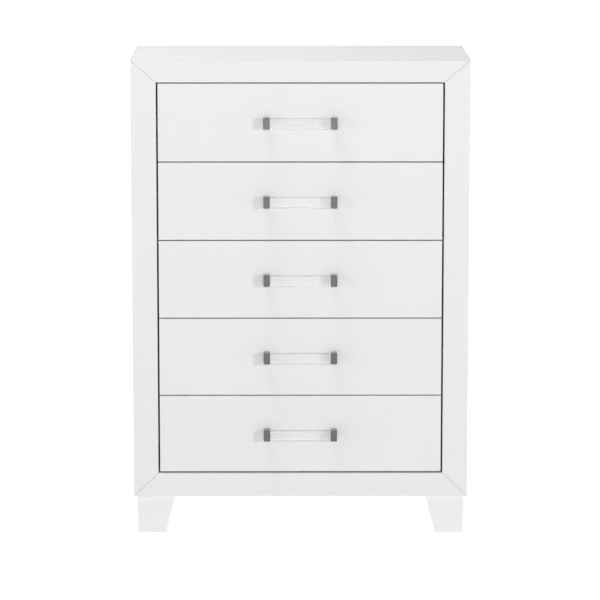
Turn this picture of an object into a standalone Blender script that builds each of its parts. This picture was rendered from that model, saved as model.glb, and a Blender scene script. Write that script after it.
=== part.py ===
"""A tall chest of drawers: a mitred case on four block feet, with five drawers on ball-bearing slides.

Metres, +Z up. The floor is z = 0, the front faces -Y, and left and right are as seen from the front.
The origin is on the floor, midway across the width and midway from the handles to the back.
"""

import math

import bmesh
import bpy

# Driving dimensions of the whole chest.
CHEST_HEIGHT = 1.225
CASE_WIDTH = 0.860
CASE_DEPTH = 0.432
FOOT_HEIGHT = 0.098
STILE_WIDTH = 0.064
TOP_RAIL_HEIGHT = 0.056
BOTTOM_RAIL_HEIGHT = 0.061
HANDLE_REACH = 0.031
DRAWER_COUNT = 5

# Clearance between two pieces that touch, and the eased edges of the lacquered boards.
GAP = 0.0003
EASED_EDGE = 0.0008
EDGE_SEGMENTS = 2

# Hollow-core case panels: two skins over solid battens along the front and rear edges.
SKIN_THICKNESS = 0.009
EDGE_BATTEN_WIDTH = 0.030
BACK_THICKNESS = 0.0055
REBATE_WIDTH = 0.009
REBATE_DEPTH = 0.006

# Stretcher across the case, between the second and third drawers from the top.
STRETCHER_THICKNESS = 0.018
STRETCHER_WIDTH = 0.080
STRETCHER_SETBACK = 0.024
STRETCHER_ABOVE_DRAWER = 3

# Feet: blocks whose two inner faces lean outwards as they go down.
FOOT_TOP_SIDE = 0.098
FOOT_SOLE_SIDE = 0.073
FOOT_INSET = 0.0085
FOOT_DRAFT = 0.0013
FOOT_EASED_EDGE = 0.0015

# Drawer fronts, set flush in the case opening.
FRONT_THICKNESS = 0.020
SIDE_REVEAL = 0.0045
TOP_REVEAL = 0.003
BETWEEN_FRONTS = 0.003
BOTTOM_REVEAL = 0.0045

# Drawer boxes, open at the top, with the bottom panel in a groove.
BOX_LENGTH = 0.380
BOX_HEIGHT = 0.150
BOX_ABOVE_FRONT_EDGE = 0.016
BOARD_THICKNESS = 0.012
BOTTOM_THICKNESS = 0.005
GROOVE_DEPTH = 0.006
GROOVE_ABOVE_EDGE = 0.010

# Ball-bearing slides, in the usual 12.7 mm beside the drawer box.
SLIDE_SPACE = 0.0127
SLIDE_LENGTH = 0.350
SLIDE_SETBACK = 0.003
SLIDE_GAUGE = 0.0013
CABINET_MEMBER_HEIGHT = 0.045
CABINET_MEMBER_DEPTH = 0.0112
DRAWER_MEMBER_HEIGHT = 0.034
DRAWER_MEMBER_DEPTH = 0.0095

# Handles: a flat bar between two rectangular posts.
HANDLE_WIDTH = 0.1876
POST_WIDTH = 0.016
POST_HEIGHT = 0.0285
POST_EASED_EDGE = 0.0011
BAR_HEIGHT = 0.0275
BAR_THICKNESS = 0.009
BAR_RECESS = 0.001
BAR_EASED_EDGE = 0.0007

# Places that follow from the dimensions.
HALF_WIDTH = CASE_WIDTH / 2
BACK_Y = (CASE_DEPTH + HANDLE_REACH) / 2
FRONT_Y = BACK_Y - CASE_DEPTH
OPENING_HALF = HALF_WIDTH - STILE_WIDTH
OPENING_BOTTOM = FOOT_HEIGHT + BOTTOM_RAIL_HEIGHT
OPENING_TOP = CHEST_HEIGHT - TOP_RAIL_HEIGHT
REVEALS = TOP_REVEAL + BOTTOM_REVEAL + (DRAWER_COUNT - 1) * BETWEEN_FRONTS
DRAWER_FRONT_HEIGHT = (OPENING_TOP - OPENING_BOTTOM - REVEALS) / DRAWER_COUNT
BOX_HALF_WIDTH = OPENING_HALF - SLIDE_SPACE
SLIDE_CENTRE = BOX_ABOVE_FRONT_EDGE + BOX_HEIGHT / 2
CUT_PAST = 0.010


def new_collection(name):
    made = bpy.data.collections.new(name)
    bpy.context.scene.collection.children.link(made)
    return made


def material(name, colour, roughness, metallic=0.0, transmission=0.0):
    made = bpy.data.materials.new(name)
    made.use_nodes = True
    shader = made.node_tree.nodes["Principled BSDF"]
    shader.inputs["Base Color"].default_value = (*colour, 1.0)
    shader.inputs["Roughness"].default_value = roughness
    shader.inputs["Metallic"].default_value = metallic
    shader.inputs["Transmission Weight"].default_value = transmission
    return made


def block_mesh(name, low, high, long_edges=None):
    """A box from corner to corner. long_edges names the axis (0, 1 or 2) whose four edges a bevel eases."""
    bm = bmesh.new()
    bmesh.ops.create_cube(bm, size=1.0)
    for vert in bm.verts:
        for axis in range(3):
            vert.co[axis] = high[axis] if vert.co[axis] > 0 else low[axis]
    if long_edges is not None:
        weight = bm.edges.layers.float.new("bevel_weight_edge")
        for edge in bm.edges:
            run = edge.verts[1].co - edge.verts[0].co
            edge[weight] = 1.0 if abs(run[long_edges]) > 0.99 * run.length else 0.0
    mesh = bpy.data.meshes.new(name)
    bm.to_mesh(mesh)
    bm.free()
    return mesh


def add_object(name, mesh, collection, paint=None, parent=None, location=(0, 0, 0), turn=0.0):
    obj = bpy.data.objects.new(name, mesh)
    obj.location = location
    obj.rotation_euler.z = turn
    obj.parent = parent
    if paint and not mesh.materials:
        mesh.materials.append(paint)
    collection.objects.link(obj)
    return obj


def add_cutter(name, low, high):
    cutter = add_object(name, block_mesh(name, low, high), cutters)
    cutter.hide_render = True
    cutter.display_type = "WIRE"
    return cutter


def carve(obj, *tools):
    for tool in tools:
        cut = obj.modifiers.new(tool.name, "BOOLEAN")
        cut.operation = "DIFFERENCE"
        cut.solver = "EXACT"
        cut.object = tool


def ease_edges(obj, radius, by_weight=False):
    bevel = obj.modifiers.new("eased_edges", "BEVEL")
    bevel.width = radius
    bevel.segments = EDGE_SEGMENTS
    bevel.limit_method = "WEIGHT" if by_weight else "ANGLE"


def finished_mesh(obj, name):
    """The object's shape with its modifiers and rotation worked in, for pieces that are repeated."""
    bpy.context.view_layer.update()
    graph = bpy.context.evaluated_depsgraph_get()
    mesh = bpy.data.meshes.new_from_object(obj.evaluated_get(graph))
    mesh.transform(obj.matrix_world)
    mesh.name = name
    bm = bmesh.new()
    bm.from_mesh(mesh)
    bmesh.ops.remove_doubles(bm, verts=bm.verts, dist=1e-6)
    bm.to_mesh(mesh)
    bm.free()
    bpy.data.objects.remove(obj)
    return mesh


def eased_block_mesh(name, low, high, radius):
    rough = add_object(name + "_rough", block_mesh(name, low, high), chest)
    ease_edges(rough, radius)
    mesh = finished_mesh(rough, name)
    mesh.shade_smooth()
    mesh.set_sharp_from_angle(angle=math.radians(60))
    return mesh


# ---- case panels ----


def mitre_ends(mesh, run, thickness, inner, inner_ends, slit=0.0):
    """Pulls the ends of the inner face in to inner_ends along run, and every end in by slit more."""
    middle = sum(inner_ends) / 2
    for vert in mesh.vertices:
        upper = vert.co[run] > middle
        if abs(vert.co[thickness] - inner) < GAP:
            vert.co[run] = inner_ends[1] if upper else inner_ends[0]
        vert.co[run] += -slit if upper else slit


def add_panel(name, mesh, paint, core_low, core_high):
    panel = add_object(name, mesh, chest, paint)
    ease_edges(panel, EASED_EDGE, by_weight=True)
    carve(panel, add_cutter(name + "_core", core_low, core_high), back_rebate)


def add_cross_panel(name, paint, outer, inner):
    """The top or bottom panel, lying across the case, mitred down to the opening's width."""
    low_z, high_z = sorted((outer, inner))
    low = (-HALF_WIDTH, FRONT_Y, low_z)
    mesh = block_mesh(name, low, (HALF_WIDTH, BACK_Y, high_z), long_edges=0)
    slit = GAP / math.sin(math.atan2(high_z - low_z, STILE_WIDTH))
    mitre_ends(mesh, 0, 2, inner, (-OPENING_HALF, OPENING_HALF), slit)
    core_low = (-HALF_WIDTH - CUT_PAST, FRONT_Y + EDGE_BATTEN_WIDTH, low_z + SKIN_THICKNESS)
    core_high = (HALF_WIDTH + CUT_PAST, BACK_Y - EDGE_BATTEN_WIDTH, high_z - SKIN_THICKNESS)
    add_panel(name, mesh, paint, core_low, core_high)


def add_side_panel(name, paint, side):
    """A side panel: side is -1 for the left and 1 for the right."""
    low_x, high_x = sorted((side * HALF_WIDTH, side * OPENING_HALF))
    low = (low_x, FRONT_Y, FOOT_HEIGHT)
    mesh = block_mesh(name, low, (high_x, BACK_Y, CHEST_HEIGHT), long_edges=2)
    mitre_ends(mesh, 2, 0, side * OPENING_HALF, (OPENING_BOTTOM, OPENING_TOP))
    core_low = (low_x + SKIN_THICKNESS, FRONT_Y + EDGE_BATTEN_WIDTH, FOOT_HEIGHT - CUT_PAST)
    core_high = (high_x - SKIN_THICKNESS, BACK_Y - EDGE_BATTEN_WIDTH, CHEST_HEIGHT + CUT_PAST)
    add_panel(name, mesh, paint, core_low, core_high)


def add_back_panel(paint):
    half = OPENING_HALF + REBATE_WIDTH - GAP
    low = (-half, BACK_Y - BACK_THICKNESS, OPENING_BOTTOM - REBATE_WIDTH + GAP)
    high = (half, BACK_Y, OPENING_TOP + REBATE_WIDTH - GAP)
    add_object("back_panel", block_mesh("back_panel", low, high), chest, paint)


def add_stretcher(paint):
    box_top = front_bottom(STRETCHER_ABOVE_DRAWER) + BOX_ABOVE_FRONT_EDGE + BOX_HEIGHT
    box_above = front_bottom(STRETCHER_ABOVE_DRAWER - 1) + BOX_ABOVE_FRONT_EDGE
    middle = (box_top + box_above) / 2
    near = FRONT_Y + FRONT_THICKNESS + STRETCHER_SETBACK
    low = (-OPENING_HALF + GAP, near, middle - STRETCHER_THICKNESS / 2)
    high = (OPENING_HALF - GAP, near + STRETCHER_WIDTH, middle + STRETCHER_THICKNESS / 2)
    add_object("stretcher", block_mesh("stretcher", low, high), chest, paint)


# ---- feet ----


def add_foot(name, paint, side, end):
    """A foot under one corner: side is -1 or 1 along X, and end is -1 at the front or 1 at the back."""
    corner = (side * (HALF_WIDTH - FOOT_INSET), FRONT_Y + FOOT_INSET if end < 0 else BACK_Y - FOOT_INSET)
    outward = (side, end)
    ends = [sorted((corner[i], corner[i] - outward[i] * FOOT_TOP_SIDE)) for i in range(2)]
    low = (ends[0][0], ends[1][0], 0.0)
    high = (ends[0][1], ends[1][1], FOOT_HEIGHT - GAP)
    mesh = block_mesh(name, low, high)
    for vert in mesh.vertices:
        if vert.co.z > 0:
            continue
        for i in range(2):
            outer = abs(vert.co[i] - corner[i]) < GAP
            inward = FOOT_DRAFT if outer else FOOT_DRAFT + FOOT_SOLE_SIDE
            vert.co[i] = corner[i] - outward[i] * inward
    foot = add_object(name, mesh, chest, paint)
    ease_edges(foot, FOOT_EASED_EDGE)


# ---- slides ----


def channel_mesh(name, height, depth):
    """A slide member's C section, its web's outer face on x = 0 and its flanges towards -X, along Y."""
    top, lip = height / 2, height / 2 - SLIDE_GAUGE
    outline = [(0, -top), (0, top), (-depth, top), (-depth, lip)]
    outline += [(-SLIDE_GAUGE, lip), (-SLIDE_GAUGE, -lip), (-depth, -lip), (-depth, -top)]
    curve = bpy.data.curves.new(name, "CURVE")
    curve.dimensions = "2D"
    curve.fill_mode = "BOTH"
    curve.extrude = SLIDE_LENGTH / 2
    spline = curve.splines.new("POLY")
    spline.points.add(len(outline) - 1)
    for point, (x, z) in zip(spline.points, outline):
        point.co = (x, z, 0, 1)
    spline.use_cyclic_u = True
    guide = add_object(name + "_outline", curve, chest)
    guide.rotation_euler.x = math.radians(90)
    return finished_mesh(guide, name)


def slide_place(side, web, height):
    middle = FRONT_Y + FRONT_THICKNESS + SLIDE_SETBACK + SLIDE_LENGTH / 2
    return (side * web, middle, height)


# ---- drawers ----


def front_bottom(number):
    """Height of the lower edge of a drawer front. Drawer 1 is at the top."""
    below = DRAWER_COUNT - number
    return OPENING_BOTTOM + BOTTOM_REVEAL + below * (DRAWER_FRONT_HEIGHT + BETWEEN_FRONTS)


def drawer_front_mesh():
    half = OPENING_HALF - SIDE_REVEAL
    high = (half, FRONT_Y + FRONT_THICKNESS, DRAWER_FRONT_HEIGHT)
    return eased_block_mesh("drawer_front", (-half, FRONT_Y, 0), high, EASED_EDGE)


def drawer_box_mesh():
    """Four boards as one ring, open above and below, with a groove round the inside for the bottom."""
    near = FRONT_Y + FRONT_THICKNESS + GAP
    low = (-BOX_HALF_WIDTH, near, BOX_ABOVE_FRONT_EDGE)
    high = (BOX_HALF_WIDTH, near + BOX_LENGTH, BOX_ABOVE_FRONT_EDGE + BOX_HEIGHT)
    inside = BOARD_THICKNESS
    hollow_low = (low[0] + inside, low[1] + inside, low[2] - CUT_PAST)
    hollow_high = (high[0] - inside, high[1] - inside, high[2] + CUT_PAST)
    groove = BOARD_THICKNESS - GROOVE_DEPTH
    groove_base = low[2] + GROOVE_ABOVE_EDGE
    groove_low = (low[0] + groove, low[1] + groove, groove_base)
    groove_high = (high[0] - groove, high[1] - groove, groove_base + BOTTOM_THICKNESS + 2 * GAP)
    rough = add_object("drawer_box_rough", block_mesh("drawer_box", low, high), chest)
    hollow = add_cutter("drawer_box_hollow", hollow_low, hollow_high)
    carve(rough, hollow, add_cutter("drawer_box_groove", groove_low, groove_high))
    return finished_mesh(rough, "drawer_box")


def drawer_bottom_mesh():
    near = FRONT_Y + FRONT_THICKNESS + GAP
    edge = BOARD_THICKNESS - GROOVE_DEPTH + GAP
    base = BOX_ABOVE_FRONT_EDGE + GROOVE_ABOVE_EDGE + GAP
    low = (-BOX_HALF_WIDTH + edge, near + edge, base)
    high = (BOX_HALF_WIDTH - edge, near + BOX_LENGTH - edge, base + BOTTOM_THICKNESS)
    return block_mesh("drawer_bottom", low, high)


def handle_post_mesh():
    middle = DRAWER_FRONT_HEIGHT / 2
    low = (-POST_WIDTH / 2, FRONT_Y - HANDLE_REACH, middle - POST_HEIGHT / 2)
    high = (POST_WIDTH / 2, FRONT_Y - GAP, middle + POST_HEIGHT / 2)
    return eased_block_mesh("handle_post", low, high, POST_EASED_EDGE)


def handle_bar_mesh():
    middle = DRAWER_FRONT_HEIGHT / 2
    half = HANDLE_WIDTH / 2 - POST_WIDTH - GAP
    near = FRONT_Y - HANDLE_REACH + BAR_RECESS
    low = (-half, near, middle - BAR_HEIGHT / 2)
    high = (half, near + BAR_THICKNESS, middle + BAR_HEIGHT / 2)
    return eased_block_mesh("handle_bar", low, high, BAR_EASED_EDGE)


def add_drawer(number, meshes, paints):
    """One drawer, under an empty on its own floor line that slides along -Y."""
    name = f"drawer_{number}"
    runner = bpy.data.objects.new(name + "_slide_axis", None)
    runner.location.z = front_bottom(number)
    chest.objects.link(runner)
    for part in ("front", "box", "bottom", "handle_bar"):
        add_object(f"{name}_{part}", meshes[part], chest, paints[part], runner)
    post_x = (HANDLE_WIDTH - POST_WIDTH) / 2
    for side, hand in SIDES:
        post = (side * post_x, 0, 0)
        add_object(f"{name}_handle_post_{hand}", meshes["post"], chest, paints["post"], runner, post)
        place = slide_place(side, BOX_HALF_WIDTH + GAP, SLIDE_CENTRE)
        turn = math.pi if side > 0 else 0.0
        slide = f"{name}_slide_{hand}"
        add_object(slide, meshes["drawer_member"], chest, paints["slide"], runner, place, turn)


def add_cabinet_slides(number, mesh, paint):
    for side, hand in SIDES:
        height = front_bottom(number) + SLIDE_CENTRE
        place = slide_place(side, OPENING_HALF - GAP, height)
        turn = math.pi if side < 0 else 0.0
        add_object(f"cabinet_slide_{number}_{hand}", mesh, chest, paint, None, place, turn)


SIDES = ((-1, "left"), (1, "right"))

for old in list(bpy.data.objects):
    bpy.data.objects.remove(old)
chest = new_collection("tall_chest_of_drawers")
cutters = new_collection("cutters")

case_lacquer = material("case_white_lacquer", (0.85, 0.85, 0.85), 0.35)
front_lacquer = material("drawer_front_white_lacquer", (0.85, 0.85, 0.85), 0.35)
foot_lacquer = material("foot_white_lacquer", (0.85, 0.85, 0.85), 0.35)
hardboard = material("back_hardboard", (0.62, 0.60, 0.56), 0.6)
batten = material("stretcher_wood", (0.58, 0.44, 0.28), 0.6)
box_board = material("drawer_box_wood", (0.62, 0.50, 0.35), 0.55)
box_bottom = material("drawer_bottom_wood", (0.64, 0.53, 0.38), 0.5)
slide_zinc = material("slide_zinc_plated_steel", (0.62, 0.63, 0.65), 0.35, metallic=1.0)
post_metal = material("handle_post_dark_nickel", (0.22, 0.22, 0.22), 0.3, metallic=1.0)
clear_acrylic = material("handle_bar_clear_acrylic", (0.97, 0.98, 0.98), 0.05, transmission=1.0)

rebate_half = OPENING_HALF + REBATE_WIDTH
back_rebate = add_cutter(
    "back_rebate",
    (-rebate_half, BACK_Y - REBATE_DEPTH, OPENING_BOTTOM - REBATE_WIDTH),
    (rebate_half, BACK_Y + CUT_PAST, OPENING_TOP + REBATE_WIDTH),
)
add_cross_panel("case_top", case_lacquer, CHEST_HEIGHT, OPENING_TOP)
add_cross_panel("case_bottom", case_lacquer, FOOT_HEIGHT, OPENING_BOTTOM)
for side, hand in SIDES:
    add_side_panel(f"case_{hand}_side", case_lacquer, side)
    add_foot(f"foot_front_{hand}", foot_lacquer, side, -1)
    add_foot(f"foot_back_{hand}", foot_lacquer, side, 1)
add_back_panel(hardboard)
add_stretcher(batten)

drawer_meshes = {
    "front": drawer_front_mesh(),
    "box": drawer_box_mesh(),
    "bottom": drawer_bottom_mesh(),
    "handle_bar": handle_bar_mesh(),
    "post": handle_post_mesh(),
    "drawer_member": channel_mesh("drawer_member", DRAWER_MEMBER_HEIGHT, DRAWER_MEMBER_DEPTH),
}
drawer_paints = {
    "front": front_lacquer,
    "box": box_board,
    "bottom": box_bottom,
    "handle_bar": clear_acrylic,
    "post": post_metal,
    "slide": slide_zinc,
}
cabinet_member = channel_mesh("cabinet_member", CABINET_MEMBER_HEIGHT, CABINET_MEMBER_DEPTH)
for number in range(1, DRAWER_COUNT + 1):
    add_cabinet_slides(number, cabinet_member, slide_zinc)
    add_drawer(number, drawer_meshes, drawer_paints)
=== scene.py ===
"""Looks of a tall chest of drawers: white satin lacquer, mitred case, five drawers, acrylic bar handles.

Metres, +Z up, the front faces -Y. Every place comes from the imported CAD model.
"""
import math

import bmesh
import bpy
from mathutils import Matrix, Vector


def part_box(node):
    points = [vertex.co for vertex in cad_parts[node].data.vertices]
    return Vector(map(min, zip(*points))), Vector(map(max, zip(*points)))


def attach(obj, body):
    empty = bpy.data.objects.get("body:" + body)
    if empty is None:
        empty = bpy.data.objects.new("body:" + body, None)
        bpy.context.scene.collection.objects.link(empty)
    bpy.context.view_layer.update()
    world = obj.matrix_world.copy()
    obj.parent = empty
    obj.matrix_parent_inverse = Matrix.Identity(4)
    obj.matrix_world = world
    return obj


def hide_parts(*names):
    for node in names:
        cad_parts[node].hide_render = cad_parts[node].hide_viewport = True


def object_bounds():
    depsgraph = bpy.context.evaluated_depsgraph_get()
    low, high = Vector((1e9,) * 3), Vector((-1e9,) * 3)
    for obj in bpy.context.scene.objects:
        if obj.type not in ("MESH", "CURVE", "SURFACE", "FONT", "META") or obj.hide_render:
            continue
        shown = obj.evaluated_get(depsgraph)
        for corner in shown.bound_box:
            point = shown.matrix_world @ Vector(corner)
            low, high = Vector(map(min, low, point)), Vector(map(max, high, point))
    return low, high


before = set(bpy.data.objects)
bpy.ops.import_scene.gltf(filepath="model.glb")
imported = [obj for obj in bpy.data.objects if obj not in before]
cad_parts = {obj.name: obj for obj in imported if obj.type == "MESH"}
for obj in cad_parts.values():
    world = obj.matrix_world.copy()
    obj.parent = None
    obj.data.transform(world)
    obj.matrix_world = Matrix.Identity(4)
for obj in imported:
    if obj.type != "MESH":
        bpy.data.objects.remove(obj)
cad_low, cad_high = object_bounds()


# ---- Studio: camera, light and floor ----
# A pale room with a floor that glows faintly, as a light table does, so that it stays free of shadow. A soft
# box over the camera and one over the chest give most of the light. A small one to the right draws the crisp
# shadows of the handles. Low ones light the sides and the back without a reflection in the top.

CAMERA_DISTANCE = 8.0
CAMERA_HEIGHT = 1.95
CAMERA_OFFSET = -0.028
AIM_OFFSET = -0.001
AIM_HEIGHT = 0.6115
LENS_MM = 190.34
SENSOR_MM = 36.0
FLOOR_HALF_SIZE = 90.0
FLOOR_DROP = 0.0002
ROOM_LIGHT = 0.14
FLOOR_GLOW = 1.00
FLOOR_LIGHT = 0.46
FRONT_WATTS = 221
SIDE_WATTS = 105
BACK_WATTS = 190
TOP_WATTS = 161
KEY_WATTS = 88
FILL_WATTS = 17


def linear(code):
    """An sRGB hex colour as linear red, green, blue and alpha."""
    channels = [int(code[i : i + 2], 16) / 255 for i in (1, 3, 5)]
    return [c / 12.92 if c <= 0.04045 else ((c + 0.055) / 1.055) ** 2.4 for c in channels] + [1.0]


def add_node(tree, kind, settings=None, inputs=None):
    """A new node. inputs maps a socket's name or number to a value, a node's output or a list of outputs."""
    node = tree.nodes.new(kind)
    for name, value in (settings or {}).items():
        setattr(node, name, value)
    for key, value in (inputs or {}).items():
        several = isinstance(value, list) and isinstance(value[0], bpy.types.NodeSocket)
        for each in value if several else [value]:
            if isinstance(each, bpy.types.NodeSocket):
                tree.links.new(each, node.inputs[key])
            else:
                node.inputs[key].default_value = each
    return node


def seen_brighter(tree, seen, lighting):
    """A strength that is seen by the eye and another that lights the chest, so that white stays white."""
    eye = add_node(tree, "ShaderNodeLightPath").outputs["Is Camera Ray"]
    both = {0: eye, 1: seen - lighting, 2: lighting}
    return add_node(tree, "ShaderNodeMath", {"operation": "MULTIPLY_ADD"}, both).outputs[0]


def new_material(name):
    """A material with its node tree and its main shader."""
    made = bpy.data.materials.new(name)
    made.use_nodes = True
    return made, made.node_tree, made.node_tree.nodes["Principled BSDF"]


def add_object(name, data):
    made = bpy.data.objects.new(name, data)
    bpy.context.scene.collection.objects.link(made)
    return made


def aim(obj, place, target):
    obj.location = place
    obj.rotation_euler = (Vector(target) - Vector(place)).to_track_quat("-Z", "Y").to_euler()


def add_softbox(name, place, target, width, height, watts):
    light = bpy.data.lights.new(name, "AREA")
    light.shape = "RECTANGLE"
    light.size = width
    light.size_y = height
    light.energy = watts
    box = add_object(name, light)
    box.visible_camera = False
    aim(box, place, target)


front_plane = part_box("case_top")[0].y
camera = add_object("camera", bpy.data.cameras.new("camera"))
camera.data.lens = LENS_MM
camera.data.sensor_width = SENSOR_MM
camera.data.clip_end = 4 * FLOOR_HALF_SIZE
camera_place = (CAMERA_OFFSET, front_plane - CAMERA_DISTANCE, CAMERA_HEIGHT)
aim(camera, camera_place, (AIM_OFFSET, front_plane, AIM_HEIGHT))
bpy.context.scene.camera = camera
bpy.context.scene.view_settings.view_transform = "Standard"

world = bpy.data.worlds.new("studio")
bpy.context.scene.world = world
world.use_nodes = True
sky = world.node_tree.nodes["Background"]
sky.inputs["Color"].default_value = linear("#FFFFFF")
world.node_tree.links.new(seen_brighter(world.node_tree, 1.0, ROOM_LIGHT), sky.inputs["Strength"])

chest_middle = (0.0, 0.0, (cad_low.z + cad_high.z) / 2)
chest_top = (0.0, 0.0, cad_high.z)
add_softbox("front_softbox", (0.2, -8.6, 2.5), chest_middle, 1.8, 1.6, FRONT_WATTS)
add_softbox("left_softbox", (-8.6, 0.0, 0.6), chest_middle, 6.0, 1.1, SIDE_WATTS)
add_softbox("right_softbox", (8.6, 0.0, 0.6), chest_middle, 6.0, 1.1, SIDE_WATTS)
add_softbox("back_left_softbox", (-6.0, 6.5, 0.6), chest_middle, 3.0, 1.1, BACK_WATTS)
add_softbox("back_right_softbox", (6.0, 6.5, 0.6), chest_middle, 3.0, 1.1, BACK_WATTS)
add_softbox("top_softbox", (-1.0, -0.4, 5.0), chest_top, 2.0, 2.0, TOP_WATTS)
add_softbox("key_softbox", (4.2, -5.0, 1.75), chest_middle, 0.5, 0.5, KEY_WATTS)
add_softbox("fill_softbox", (-3.6, -2.6, 1.4), chest_middle, 0.5, 0.5, FILL_WATTS)

floor_mesh = bpy.data.meshes.new("studio_floor")
turns = ((-1, -1), (1, -1), (1, 1), (-1, 1))
corners = [(x * FLOOR_HALF_SIZE, y * FLOOR_HALF_SIZE, -FLOOR_DROP) for x, y in turns]
floor_mesh.from_pydata(corners, [], [(0, 1, 2, 3)])
floor = add_object("studio_floor", floor_mesh)
floor_paint, floor_tree, floor_shader = new_material("pale_floor_paint")
floor_shader.inputs["Base Color"].default_value = linear("#8C8C8C")
floor_shader.inputs["Roughness"].default_value = 0.9
floor_shader.inputs["Specular IOR Level"].default_value = 0.0
floor_shader.inputs["Emission Color"].default_value = linear("#FFFFFF")
glow = seen_brighter(floor_tree, FLOOR_GLOW, FLOOR_LIGHT)
floor_tree.links.new(glow, floor_shader.inputs["Emission Strength"])
floor_mesh.materials.append(floor_paint)


# ---- Case: top, bottom and two sides ----
# Thick hollow-core panels of fibreboard, mitred at the corners, sealed and sprayed with white satin lacquer.
# The CAD panels show as they are. Only the lacquer is given here.

ORANGE_PEEL = 0.005
CLOUD = 0.30
OVERSPRAY_MARGIN = 0.0006
OVERSPRAY_FROM = 0.018
OVERSPRAY_TO = 0.034
MITRE_LINE = 0.0010
MITRE_LINE_CORE = 0.0004


def white_lacquer(name, bright, dim, roughness):
    """Sprayed satin lacquer: soft gloss, faint clouding from the spray passes and a shallow orange peel.
    Real orange peel is about 2 mm across. It is drawn at 5 mm, the finest that shows at arm's length."""
    made, tree, shader = new_material(name)
    place = add_node(tree, "ShaderNodeTexCoord").outputs["Object"]
    cloud = {"Vector": place, "Scale": 1 / CLOUD, "Detail": 3.0}
    cloud = add_node(tree, "ShaderNodeTexNoise", inputs=cloud)
    tint = {0: cloud.outputs["Fac"], 6: linear(dim), 7: linear(bright)}
    tint = add_node(tree, "ShaderNodeMix", {"data_type": "RGBA"}, tint)
    sheen = {"Value": cloud.outputs["Fac"], "To Min": roughness - 0.03, "To Max": roughness + 0.03}
    sheen = add_node(tree, "ShaderNodeMapRange", inputs=sheen)
    peel = {"Vector": place, "Scale": 1 / ORANGE_PEEL, "Detail": 1.5, "Roughness": 0.4}
    peel = add_node(tree, "ShaderNodeTexNoise", inputs=peel)
    relief = {"Height": peel.outputs["Fac"], "Strength": 0.10, "Distance": 0.0004}
    relief = add_node(tree, "ShaderNodeBump", inputs=relief)
    shader.inputs["Specular IOR Level"].default_value = 0.3
    tree.links.new(tint.outputs[2], shader.inputs["Base Color"])
    tree.links.new(sheen.outputs["Result"], shader.inputs["Roughness"])
    tree.links.new(relief.outputs["Normal"], shader.inputs["Normal"])
    return made


def paint_node(node, material):
    """Gives a CAD node's object a material in every slot, without touching its mesh."""
    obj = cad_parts[node]
    for slot in obj.material_slots:
        slot.link = "OBJECT"
        slot.material = material


def recolour(lacquer, where, colour):
    """Gives the lacquer another colour where a pattern says so, over what it has already."""
    tree = lacquer.node_tree
    shader = tree.nodes["Principled BSDF"]
    painted = shader.inputs["Base Color"].links[0].from_socket
    both = add_node(tree, "ShaderNodeMix", {"data_type": "RGBA"}, {0: where, 6: painted, 7: colour})
    tree.links.new(both.outputs[2], shader.inputs["Base Color"])


def leave_inside_raw(lacquer, opening_low, opening_high, front, raw):
    """Inside the opening the panels stay bare fibreboard. The overspray fades out behind the fronts."""
    tree = lacquer.node_tree
    shader = tree.nodes["Principled BSDF"]
    coordinates = add_node(tree, "ShaderNodeTexCoord")
    place = add_node(tree, "ShaderNodeSeparateXYZ", inputs={0: coordinates.outputs["Object"]}).outputs
    inward = None
    for axis, low, high in ((0, opening_low.x, opening_high.x), (2, opening_low.z, opening_high.z)):
        off = {0: place[axis], 1: (low + high) / 2}
        off = add_node(tree, "ShaderNodeMath", {"operation": "SUBTRACT"}, off)
        off = add_node(tree, "ShaderNodeMath", {"operation": "ABSOLUTE"}, {0: off.outputs[0]})
        within = {0: off.outputs[0], 1: (high - low) / 2 + OVERSPRAY_MARGIN}
        within = add_node(tree, "ShaderNodeMath", {"operation": "LESS_THAN"}, within)
        inward = within if inward is None else add_node(
            tree, "ShaderNodeMath", {"operation": "MULTIPLY"}, {0: inward.outputs[0], 1: within.outputs[0]}
        )
    mist = {"Vector": coordinates.outputs["Object"], "Scale": 40.0, "Detail": 3.0}
    mist = add_node(tree, "ShaderNodeTexNoise", inputs=mist)
    deep = {0: mist.outputs["Fac"], 1: 0.02, 2: place[1]}
    deep = add_node(tree, "ShaderNodeMath", {"operation": "MULTIPLY_ADD"}, deep)
    fade = {"Value": deep.outputs[0], "From Min": front + OVERSPRAY_FROM, "From Max": front + OVERSPRAY_TO}
    fade = add_node(tree, "ShaderNodeMapRange", {"interpolation_type": "SMOOTHSTEP"}, fade)
    bare = {0: inward.outputs[0], 1: fade.outputs["Result"]}
    bare = add_node(tree, "ShaderNodeMath", {"operation": "MULTIPLY"}, bare)
    fibre = {"Vector": coordinates.outputs["Object"], "Scale": 500.0, "Detail": 3.0}
    fibre = add_node(tree, "ShaderNodeTexNoise", inputs=fibre)
    board = {0: fibre.outputs["Fac"], 6: linear(raw), 7: linear("#A58A66")}
    board = add_node(tree, "ShaderNodeMix", {"data_type": "RGBA"}, board)
    recolour(lacquer, bare.outputs[0], board.outputs[2])
    dull = {0: bare.outputs[0], 1: 0.35, 2: shader.inputs["Roughness"].links[0].from_socket}
    dull = add_node(tree, "ShaderNodeMath", {"operation": "MULTIPLY_ADD"}, dull)
    tree.links.new(dull.outputs[0], shader.inputs["Roughness"])


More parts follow.
